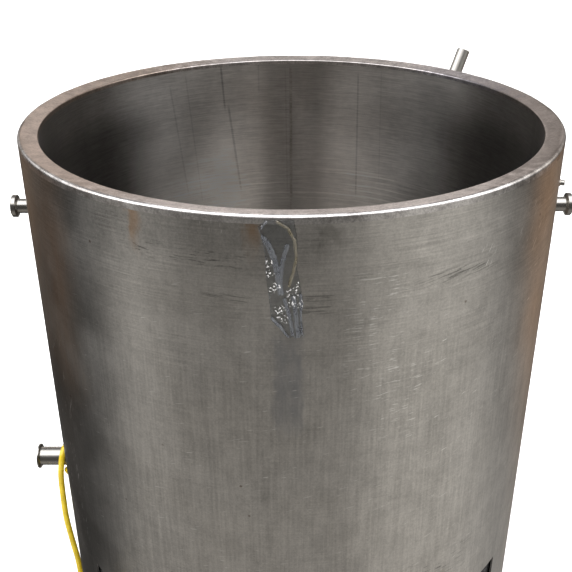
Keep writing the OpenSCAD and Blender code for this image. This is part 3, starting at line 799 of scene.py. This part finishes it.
def make_coil_tie():
    """Strap round the coil, with rounded corners."""
    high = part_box("coil_tie")[1]
    angle = math.radians(TIE_AZIMUTH)
    outward = Vector((math.cos(angle), math.sin(angle), 0.0))
    along = Vector((-math.sin(angle), math.cos(angle), 0.0))
    middle = COIL_CENTRE + outward * (COIL_OUTER + COIL_INNER) / 2 + Vector((0, 0, high.z / 2))
    corner_x = CORD_D + TIE_GAP - TIE_CORNER
    corner_z = high.z / 2 - TIE_INSET - TIE_CORNER
    ring = []
    for quarter, (side_x, side_z) in enumerate(((1, 1), (-1, 1), (-1, -1), (1, -1))):
        for step in range(7):
            a = math.radians(90 * quarter + 15 * step)
            x = side_x * corner_x + TIE_CORNER * math.cos(a)
            z = side_z * corner_z + TIE_CORNER * math.sin(a)
            ring.append(Vector((x, z)))
    verts, faces = [], []
    for lift in (0.0, TIE_T):
        for side in (-TIE_HALF_WIDTH, TIE_HALF_WIDTH):
            for point in ring:
                x, z = point + point.normalized() * lift
                verts.append(middle + outward * x + Vector((0, 0, z)) + along * side)
    count = len(ring)
    for k in range(count):
        n = (k + 1) % count
        for a, b in ((0, 1), (2, 3), (0, 2), (1, 3)):
            faces.append((a * count + k, a * count + n, b * count + n, b * count + k))
    tie = mesh_piece("coil_strap", verts, faces)
    return dress(tie, "vat", "tie_plastic", "coil_tie")


# ---------- clear film ----------

FILM_TOP = 1.144
FILM_LENGTH = 0.168
FILM_T = 0.0002
# outline of the film: azimuth, share of the length down
FILM_LEFT = [
    (-4.2, 0.0), (-5.3, 0.055), (-4.7, 0.14), (-4.2, 0.30),
    (-4.1, 0.48), (-3.6, 0.70), (-3.4, 0.84), (-0.6, 1.0),
]
FILM_RIGHT = [
    (0.4, 0.0), (0.9, 0.13), (1.0, 0.25), (0.9, 0.40),
    (1.3, 0.50), (2.0, 0.70), (1.7, 0.80), (2.0, 1.0),
]
# folds: points of (azimuth, share of the length down), height and half width
FILM_FOLDS = [
    ([(-4.9, 0.13), (-3.8, 0.19), (-2.9, 0.30), (-2.2, 0.44), (-1.8, 0.60)], 0.0022, 0.0056),
    ([(-2.2, 0.01), (-0.6, 0.06), (0.5, 0.16), (0.8, 0.30), (0.3, 0.42), (-0.4, 0.54)], 0.0020, 0.0026),
    ([(-4.9, 0.07), (-3.9, 0.01)], 0.0030, 0.0014),
    ([(-3.4, 0.83), (-2.0, 0.90), (-0.8, 0.99)], 0.0022, 0.0036),
    ([(-1.2, 0.66), (-0.4, 0.80), (0.2, 0.99)], 0.0020, 0.0034),
    ([(0.3, 0.64), (0.7, 0.80), (1.1, 0.99)], 0.0018, 0.0042),
    ([(1.5, 0.62), (1.6, 0.80), (1.8, 0.98)], 0.0020, 0.0030),
    ([(-0.7, 0.20), (-1.5, 0.34), (-1.9, 0.50)], 0.0014, 0.0040),
]
AGED_FOLD = 1
CLEAR, MILKY, AGED, PAINTED_GLINT = range(4)
# crumpled spots: azimuth, share of the length down, radius
FILM_CRUMPLES = [
    (-4.1, 0.35, 0.007), (-3.4, 0.33, 0.005), (-3.5, 0.44, 0.006), (-2.3, 0.54, 0.006), (-3.2, 0.57, 0.005),
    (0.1, 0.60, 0.009), (0.4, 0.69, 0.009), (1.2, 0.54, 0.006), (1.6, 0.70, 0.006),
    (-2.0, 0.76, 0.009), (-1.7, 0.83, 0.007), (-0.8, 0.84, 0.006),
]


def between(outline, share):
    """Azimuth of a film edge at that share of the length."""
    for (a, s), (b, t) in zip(outline, outline[1:]):
        if share <= t:
            return a + (b - a) * (share - s) / (t - s)
    return outline[-1][0]


def unrolled(azimuth, share):
    """Place on the film, laid flat."""
    return Vector((math.radians(azimuth) * OUTER_R, share * FILM_LENGTH, 0.0))


def gap_to_line(point, a, b):
    along = b - a
    share = min(max((point - a).dot(along) / along.length_squared, 0.0), 1.0)
    return (point - a - along * share).length


def fold_rise(azimuth, share, fold, half):
    """1 on the crest of a fold, 0 beside it."""
    here = unrolled(azimuth, share)
    places = [unrolled(*p) for p in fold]
    gap = min(gap_to_line(here, a, b) for a, b in zip(places, places[1:]))
    return max(0.0, 1 - gap / half)


def film_height(azimuth, share):
    """How far the crumpled film stands off the wall."""
    here = unrolled(azimuth, share)
    height = 0.0008 + 0.0012 * abs(noise.noise(here * 90.0))
    for fold, rise, half in FILM_FOLDS:
        height += rise * fold_rise(azimuth, share, fold, half) ** 1.3
    for spot_azimuth, spot_share, radius in FILM_CRUMPLES:
        near = max(0.0, 1 - (here - unrolled(spot_azimuth, spot_share)).length / radius)
        height += near ** 0.7 * 0.0040 * abs(noise.noise(here * 230.0 + Vector((3.1, 0.0, 1.7))))
    return height


def film_look(azimuth, share, edge):
    """Which of the film's materials shows at a place; crumpled spots get the painted glint. edge is 1 at
    either side.
    """
    here = unrolled(azimuth, share)
    for spot_azimuth, spot_share, radius in FILM_CRUMPLES:
        near = 1 - (here - unrolled(spot_azimuth, spot_share)).length / radius
        if near > 0 and noise.noise(here * 420.0) > 0.34 - 0.16 * near:
            return PAINTED_GLINT
    for i, (fold, rise, half) in enumerate(FILM_FOLDS):
        if fold_rise(azimuth, share, fold, half) > 0.3 + 0.2 * noise.noise(here * 260.0):
            return AGED if i == AGED_FOLD else MILKY
    return MILKY if edge > 0.975 and noise.noise(here * 120.0) > 0.05 else CLEAR


def make_film():
    """Crumpled patch of clear film, stuck to the wall below the rim."""
    across, down = 64, 170
    verts, faces, looks = [], [], []
    for row in range(down + 1):
        share = row / down
        left, right = between(FILM_LEFT, share), between(FILM_RIGHT, share)
        ragged = 0.12 * noise.noise(Vector((share * 40, 0.0, 5.0)))
        for column in range(across + 1):
            w = column / across
            azimuth = left + (right - left) * w + ragged * abs(2 * w - 1)
            droop = 0.006 * noise.noise(Vector((w * 5, 2.0, 0.0))) * ease(share, 0.8, 1.0)
            a = math.radians(azimuth - 90)
            r = OUTER_R + film_height(azimuth, share)
            verts.append((r * math.cos(a), r * math.sin(a), FILM_TOP - share * FILM_LENGTH + droop))
            if row < down and column < across:
                first = row * (across + 1) + column
                faces.append((first, first + 1, first + across + 2, first + across + 1))
                looks.append(film_look(azimuth, share, abs(2 * w - 1)))
    film = mesh_piece("crumpled_film", verts, faces)
    dress(film, "vat", "clear_film", "clear_film")
    for look in ("milky_film", "aged_film", "painted_glint_film"):
        film.data.materials.append(MATERIALS[look])
    film.data.polygons.foreach_set("material_index", looks)
    thicken = film.modifiers.new("thickness", "SOLIDIFY")
    thicken.thickness = FILM_T
    thicken.offset = 1.0


# ---------- weld beads round the fittings ----------

WELD_PITCH = 0.0022
# radius of each weld's ring and half its thickness
LUG_WELD = (0.0135, 0.0026)
INLET_WELD = (0.0195, 0.0022)
STUD_WELD = (0.0048, 0.0013)
VENT_WELD = (0.0131, 0.0024)
VENT_AZIMUTH = 45.6
VENT_Z = 1.080
VENT_LEAN = math.radians(90 - 30.8)


def saddle(azimuth, height, radius, lean):
    """Points where a round fitting meets the outer wall. It points outwards, leaning up by lean."""
    a = math.radians(azimuth)
    outward = Vector((math.cos(a), math.sin(a), 0.0))
    tangent = Vector((-math.sin(a), math.cos(a), 0.0))
    axis = outward * math.cos(lean) + Vector((0, 0, math.sin(lean)))
    rise = Vector((0, 0, math.cos(lean))) - outward * math.sin(lean)
    start = outward * OUTER_R + Vector((0, 0, height))
    points = []
    steps = max(96, int(2 * math.pi * radius / 0.0006))
    for i in range(steps):
        t = 2 * math.pi * i / steps
        p = start + radius * (math.cos(t) * tangent + math.sin(t) * rise)
        flat_p, flat_a = Vector((p.x, p.y)), Vector((axis.x, axis.y))
        qa, qb = flat_a.dot(flat_a), 2 * flat_p.dot(flat_a)
        qc = flat_p.dot(flat_p) - OUTER_R ** 2
        s = (-qb + math.sqrt(max(qb * qb - 4 * qa * qc, 0.0))) / (2 * qa)
        points.append(p + axis * s)
    return points


def weld_bead(name, points, size):
    """Closed bead with the even ripples of a hand weld."""
    length = sum((a - b).length for a, b in zip(points, points[1:] + points[:1]))
    ripples = max(8, round(length / WELD_PITCH))
    radii = []
    for i in range(len(points)):
        phase = (i / len(points) * ripples) % 1.0
        ripple = (1 - phase) ** 0.6 * min(1.0, phase * 6)
        radii.append(size * (0.86 + 0.22 * ripple + 0.05 * math.sin(i * 0.21)))
    return swept(name, points, radii, sides=12, closed=True)


def make_welds():
    lug_low, lug_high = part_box("right_lug")
    lug_z = (lug_low.z + lug_high.z) / 2
    stud_low, stud_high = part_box("side_stud")
    stud_centre = (stud_low + stud_high) / 2
    stud_azimuth = math.degrees(math.atan2(stud_centre.y, stud_centre.x))
    # name, azimuth from +X, height, ring and lean
    rings = [
        ("weld_right_lug", 0, lug_z, LUG_WELD, 0.0),
        ("weld_left_lug", 180, lug_z, LUG_WELD, 0.0),
        ("weld_jacket_inlet", 180, INLET_Z, INLET_WELD, 0.0),
        ("weld_side_stud", stud_azimuth, stud_centre.z, STUD_WELD, 0.0),
        ("weld_vent_pipe", VENT_AZIMUTH, VENT_Z, VENT_WELD, VENT_LEAN),
    ]
    stands_for = ["fitting_welds"]
    for name, azimuth, height, (radius, size), lean in rings:
        bead = weld_bead(name, saddle(azimuth, height, radius, lean), size)
        dress(bead, "vat", "weld_steel", *stands_for)
        stands_for = []


# ---------- foam under the bottom ----------

FOAM_T = 0.020
FOAM_HOLE_R = 0.0225
FOAM_INSET = 0.0012
FOAM_ROUND = 0.003
FOAM_LUMP = 0.0014
FOAM_GRID = 0.012


def lathe(name, profile, lump):
    """Closed section turned about the vat's axis, with a lumpy skin."""
    steps = 180
    verts = []
    for i in range(steps):
        a = 2 * math.pi * i / steps
        for r, z in profile:
            place = Vector((r * math.cos(a), r * math.sin(a), z))
            shift = lump * noise.noise(place * 55.0) + 0.5 * lump * noise.noise(place * 170.0)
            outward = Vector((math.cos(a), math.sin(a), 0.0))
            verts.append(place + outward * shift - Vector((0, 0, abs(shift) * 0.5)))
    return mesh_piece(name, verts, ring_faces(steps, len(profile)))


def rounded_section(r_in, r_out, z_low, z_high, soft):
    """Outline of a foam section with soft corners, with points along its sides for the lumps."""
    points = []
    for (r, z, a0) in ((r_out - soft, z_high - soft, 0), (r_in + soft, z_high - soft, 90),
                       (r_in + soft, z_low + soft, 180), (r_out - soft, z_low + soft, 270)):
        for step in range(4):
            a = math.radians(a0 + 30 * step)
            points.append((r + soft * math.cos(a), z + soft * math.sin(a)))
    full = []
    for (a, b) in zip(points, points[1:] + points[:1]):
        parts = max(1, min(24, int(math.dist(a, b) / FOAM_GRID)))
        full += [(a[0] + (b[0] - a[0]) * s / parts, a[1] + (b[1] - a[1]) * s / parts) for s in range(parts)]
    return full


def make_foam():
    """The band round the dished bottom and the disc under it, near black to paint in the deep shade under
    the vessel.
    """
    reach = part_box("insulation_band")[1].x
    for name, node, hole_r in (("foam_band", "insulation_band", reach - FOAM_T),
                               ("foam_disc", "insulation_disc", FOAM_HOLE_R)):
        low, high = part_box(node)
        section = rounded_section(hole_r + FOAM_INSET, high.x - FOAM_INSET,
                                  low.z + FOAM_INSET, high.z - FOAM_INSET, FOAM_ROUND)
        foam = lathe(name, section, FOAM_LUMP)
        dress(foam, "vat", "black_foam", node)


# ---------- rim ----------

RIM_OUTER_ROUND = 0.005
RIM_INNER_ROUND = 0.002
# height the rim's top falls from its outer edge to its inner edge
RIM_FALL = 0.004
RIM_WAVER = 0.00035


def on_round(centre, radius, a):
    return centre + radius * Vector((math.cos(a), math.sin(a)))


def make_rim():
    """Ring that closes the jacket, with hand-ground edges that waver a little."""
    low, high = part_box("rim_ring")
    top, under = high.z, low.z
    steps = 720
    inner = Vector((INNER_R + RIM_INNER_ROUND, top - RIM_FALL - RIM_INNER_ROUND))
    outer = Vector((OUTER_R - RIM_OUTER_ROUND, top - RIM_OUTER_ROUND))
    run = outer - inner
    # direction square to the sloping top, which touches both rounds
    square = math.atan2(run.y, run.x) + math.acos((RIM_INNER_ROUND - RIM_OUTER_ROUND) / run.length)
    start = on_round(inner, RIM_INNER_ROUND, square)
    end = on_round(outer, RIM_OUTER_ROUND, square)
    # point of the section and how far it wavers
    profile = [(Vector((INNER_R, under)), 0.0)]
    for k in range(7):
        a = math.pi + (square - math.pi) * k / 6
        profile.append((on_round(inner, RIM_INNER_ROUND, a), 0.3))
    profile += [(start.lerp(end, k / 6), 0.6) for k in range(1, 6)]
    profile += [(on_round(outer, RIM_OUTER_ROUND, square * (1 - k / 12)), 1.0) for k in range(13)]
    profile.append((Vector((OUTER_R, under)), 0.0))
    verts = []
    for i in range(steps):
        a = 2 * math.pi * i / steps
        for k, ((r, z), sway) in enumerate(profile):
            here = Vector((r * math.cos(a), r * math.sin(a), 0.02 * k))
            sink = RIM_WAVER * sway * (noise.noise(here * 14.0) + 0.5 * noise.noise(here * 45.0) - 0.6)
            verts.append((r * math.cos(a), r * math.sin(a), z + sink))
    rim = mesh_piece("ground_rim", verts, ring_faces(steps, len(profile)))
    for edge in rim.data.edges:
        edge.use_edge_sharp = all(verts[v][2] < under + 1e-6 for v in edge.vertices)
    dress(rim, "vat", "rim_steel", "rim_ring")


# ---------- lever grip ----------

GRIP_RIBS = 9
GRIP_RIB_DEPTH = 0.0007
# power that makes the grip's section a rounded rectangle
GRIP_SQUARE = 0.42


def make_grip():
    """Dipped vinyl sleeve: soft corners, a narrowed mouth and finger ribs."""
    low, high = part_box("lever_grip")
    centre_y = (low.y + high.y) / 2
    centre_x = (low.x + high.x) / 2
    half_y = (high.y - low.y) / 2
    half_x = (high.x - low.x) / 2
    length = high.z - low.z
    verts = []
    sides, rows = 40, 72
    for row in range(rows + 1):
        share = row / rows
        z = high.z - share * length
        tip = math.sqrt(max(1 - (1 - min((z - low.z) / half_y, 1.0)) ** 2, 0.0))
        mouth = 1.0 - 0.10 * (1 - ease(share, 0.0, 0.06))
        ribbed = ease(share, 0.12, 0.2) * (1 - ease(share, 0.72, 0.8))
        rib = GRIP_RIB_DEPTH * ribbed * (0.5 + 0.5 * math.cos(share * 2 * math.pi * GRIP_RIBS))
        for k in range(sides):
            a = 2 * math.pi * k / sides
            c, s = math.cos(a), math.sin(a)
            x = math.copysign(abs(c) ** GRIP_SQUARE, c) * (half_x * min(1.0, tip * 1.6) * mouth - rib)
            y = math.copysign(abs(s) ** GRIP_SQUARE, s) * (half_y * tip * mouth - rib)
            verts.append((centre_x + x, centre_y + y, z))
    grip = mesh_piece("vinyl_grip", verts, tube_faces(rows + 1, sides))
    dress(grip, "valve_rotor", "grip_plastic", "lever_grip")


# ---------- studio ----------

# soft boxes: azimuth from the front, elevation, half widths and softness in degrees, colour, strength
SOFT_BOXES = [
    (-69, -14, 7, 14, 15, 18, (1.0, 0.97, 0.92), 0.27),
    (60, -12, 18, 18, 18, 24, (1.0, 0.97, 0.91), 0.37),
    (114, -42, 16, 8, 18, 14, (1.0, 0.98, 0.95), 0.16),
    (-80, 36, 9, 12, 9, 12, (1.0, 0.99, 0.97), 2.0),
    (-122, 24, 8, 7, 10, 8, (1.0, 0.99, 0.98), 1.3),
    (122, 22, 10, 8, 10, 8, (1.0, 0.90, 0.78), 0.8),
    (88, 36, 12, 12, 12, 12, (1.0, 0.99, 0.97), 1.2),
    (0, 46, 30, 6, 30, 10, (1.0, 0.99, 0.98), 0.8),
    (183, 19, 12, 6, 5, 8, (1.0, 0.93, 0.90), 0.78),
    (180, 18, 30, 8, 24, 10, (1.0, 0.86, 0.76), 0.32),
    (132, -19, 9, 9, 9, 7, (1.0, 0.56, 0.28), 0.24),
    (-117, -20, 3, 5, 6, 8, (1.0, 0.58, 0.32), 0.12),
    (-140, -12, 6, 6, 8, 8, (1.0, 0.62, 0.36), 0.16),
]
UNDER_COLOUR = (1.0, 0.95, 0.88)
SKY_COLOUR = (0.99, 0.99, 1.0)
# angles of the strip light in the plane through the vat's axis, up from the front
STRIP_CENTRE = 78.0
STRIP_HALF = 24.0
STRIP_SOFT = 14.0
STRIP_STRENGTH = 2.3
CEILING = 0.35
FLOOR_HALF = 14.0


def make_world():
    """A dim room with soft boxes for the steel to reflect. The camera sees it as white."""
    world = bpy.data.worlds.new("studio")
    world.use_nodes = True
    g = Graph(world.node_tree)
    background = world.node_tree.nodes["Background"]
    direction = g.add("ShaderNodeTexCoord").outputs["Generated"]
    unit = g.add("ShaderNodeVectorMath", operation="NORMALIZE")
    g.feed(unit.inputs[0], direction)
    parts = g.add("ShaderNodeSeparateXYZ")
    g.feed(parts.inputs[0], unit.outputs[0])
    x, y, z = parts.outputs
    azimuth = g.math("DEGREES", g.math("ARCTAN2", x, g.times(y, -1.0)))
    elevation = g.math("DEGREES", g.math("ARCSINE", z))
    # dim room, lighter towards the floor below and the ceiling above
    under = g.span(elevation, -18.0, -46.0, 0.10, 0.36)
    left_dark = g.span(g.window(azimuth, -120.0, 24.0, 34.0), 0.0, 1.0, 1.0, 0.12)
    right_dark = g.span(g.window(azimuth, 138.0, 10.0, 36.0), 0.0, 1.0, 1.0, 0.40)
    low = g.times(under, g.times(left_dark, right_dark))
    light = g.coloured(UNDER_COLOUR, low)
    # a long strip light overhead, from side to side, over a dim ceiling
    over = g.math("DEGREES", g.math("ARCTAN2", z, g.times(y, -1.0)))
    strip = g.times(g.window(over, STRIP_CENTRE, STRIP_HALF, STRIP_SOFT), STRIP_STRENGTH)
    sky = g.plus(strip, g.span(elevation, 25.0, 60.0, 0.0, CEILING))
    light = g.mix(1.0, light, g.coloured(SKY_COLOUR, sky), blend="ADD")
    for az, el, half_az, half_el, soft_az, soft_el, colour, strength in SOFT_BOXES:
        turn = g.math("ABSOLUTE", g.math("WRAP", g.minus(azimuth, az), 180.0, -180.0))
        sideways = g.span(turn, half_az, half_az + soft_az, 1.0, 0.0)
        box = g.times(sideways, g.window(elevation, el, half_el, soft_el))
        light = g.mix(1.0, light, g.coloured(colour, g.times(box, strength)), blend="ADD")
    seen = g.add("ShaderNodeLightPath").outputs["Is Camera Ray"]
    g.feed(background.inputs["Color"], g.mix(seen, light, (1.0, 1.0, 1.0, 1.0)))
    background.inputs["Strength"].default_value = 1.0
    scene.world = world


def make_floor():
    half = FLOOR_HALF
    floor = mesh_piece("floor", [(-half, -half, 0), (half, -half, 0), (half, half, 0), (-half, half, 0)],
                       [(0, 1, 2, 3)], smooth=False)
    material, _, shader = new_material("pale_floor")
    shader.inputs["Base Color"].default_value = (0.92, 0.92, 0.92, 1.0)
    shader.inputs["Roughness"].default_value = 0.9
    shader.inputs["Specular IOR Level"].default_value = 0.1
    shader.inputs["Emission Color"].default_value = (1.0, 1.0, 1.0, 1.0)
    shader.inputs["Emission Strength"].default_value = 0.25
    floor.data.materials.append(material)
    floor.visible_glossy = False
    floor.visible_transmission = False


def make_lights():
    """One large soft box overhead that lights the floor and gives soft shadows."""
    data = bpy.data.lights.new("overhead", "AREA")
    data.shape = "DISK"
    data.size = 3.0
    data.energy = 110.0
    lamp = bpy.data.objects.new("overhead", data)
    lamp.location = (0.0, -0.4, 3.6)
    lamp.visible_glossy = False
    lamp.visible_transmission = False
    scene.collection.objects.link(lamp)


# ---------- build ----------

scene.view_settings.view_transform = "Standard"
MATERIALS = make_materials()
paint_frame(MATERIALS)
make_camera()
make_cord()
make_film()
make_welds()
make_foam()
make_rim()
make_grip()
make_world()
make_lights()
make_floor()
